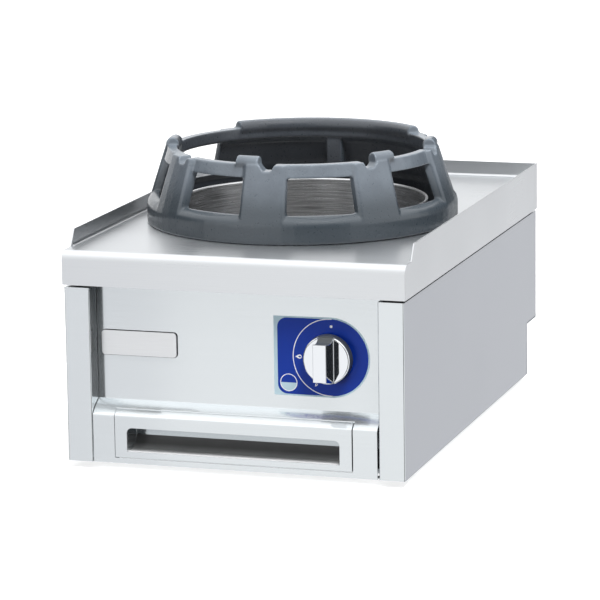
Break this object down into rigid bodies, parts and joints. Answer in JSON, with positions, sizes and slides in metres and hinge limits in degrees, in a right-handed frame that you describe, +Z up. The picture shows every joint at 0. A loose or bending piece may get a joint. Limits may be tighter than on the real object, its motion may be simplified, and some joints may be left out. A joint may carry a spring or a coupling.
{
  "type": "wok range",
  "caption": "Countertop gas wok range: stainless cabinet, recessed knob, drip tray drawer, sunk burner in a steel well, and a windowed cast iron wok ring that lifts off.",
  "frame": {"origin": "centre of the whole object's box, on the surface it stands on", "axes": "+Z up, +Y to the back, +X to the right seen from the front"},
  "size_m": [0.4, 0.6174, 0.346],
  "materials": {
    "stainless": "satin brushed",
    "cast_iron": "blue-grey enamelled casting",
    "burner_iron": "raw casting",
    "galvanised": "galvanised sheet",
    "brass": "machined",
    "copper": "drawn copper tube",
    "steel": "zinc plated",
    "chrome": "bright chrome",
    "label_film": "printed film, glossy",
    "plate_aluminium": "satin anodised",
    "rubber": "matt"
  },
  "bodies": {
    "cabinet": {"bottom_panel": "galvanised", "burner_body": "burner_iron", "burner_bolt_left": "steel", "burner_bolt_right": "steel", "burner_bracket": "galvanised", "burner_well": "stainless", "drawer_runner_left": "galvanised", "drawer_runner_right": "galvanised", "feed_pipe": "copper", "foot_front_left": "rubber", "foot_front_right": "rubber", "foot_rear_left": "rubber", "foot_rear_right": "rubber", "front_panel": "stainless", "gas_inlet": "brass", "injector": "brass", "injector_bracket": "galvanised", "inlet_locknut": "brass", "pilot_bracket": "galvanised", "pilot_burner": "brass", "pilot_tube": "copper", "rear_panel": "galvanised", "riser_pipe": "copper", "side_panel_left": "stainless", "side_panel_right": "stainless", "supply_elbow": "steel", "supply_pipe": "steel", "thermocouple": "steel", "thermocouple_lead": "copper", "valve_body": "brass", "valve_bonnet": "brass", "valve_bracket": "galvanised", "well_floor": "stainless", "worktop": "stainless"},
    "wok_ring": {"wok_ring": "cast_iron"},
    "burner_head": {"burner_head": "burner_iron"},
    "drawer": {"drawer_front": "stainless", "drip_tray": "stainless"},
    "valve_plug": {"valve_plug": "brass"},
    "knob": {"knob": "chrome", "spindle": "steel"}
  },
  "joints": [
    {"name": "drawer_slide", "type": "slide", "parent": "cabinet", "child": "drawer", "axis": [0, -1, 0], "range_m": [0, 0.35]},
    {"name": "valve_turn", "type": "hinge", "parent": "cabinet", "child": "valve_plug", "pos_m": [0.1067, -0.25, 0.1383], "axis": [0, -1, 0], "range_deg": [0, 150]},
    {"name": "knob_push", "type": "slide", "parent": "valve_plug", "child": "knob", "axis": [0, 1, 0], "range_m": [0, 0.004], "stiffness_N_per_m": 1500, "springref_m": -0.002},
    {"name": "ring_lift", "type": "slide", "parent": "cabinet", "child": "wok_ring", "axis": [0, 0, 1], "range_m": [0, 0.12]},
    {"name": "head_lift", "type": "slide", "parent": "cabinet", "child": "burner_head", "axis": [0, 0, 1], "range_m": [0, 0.12]}
  ]
}
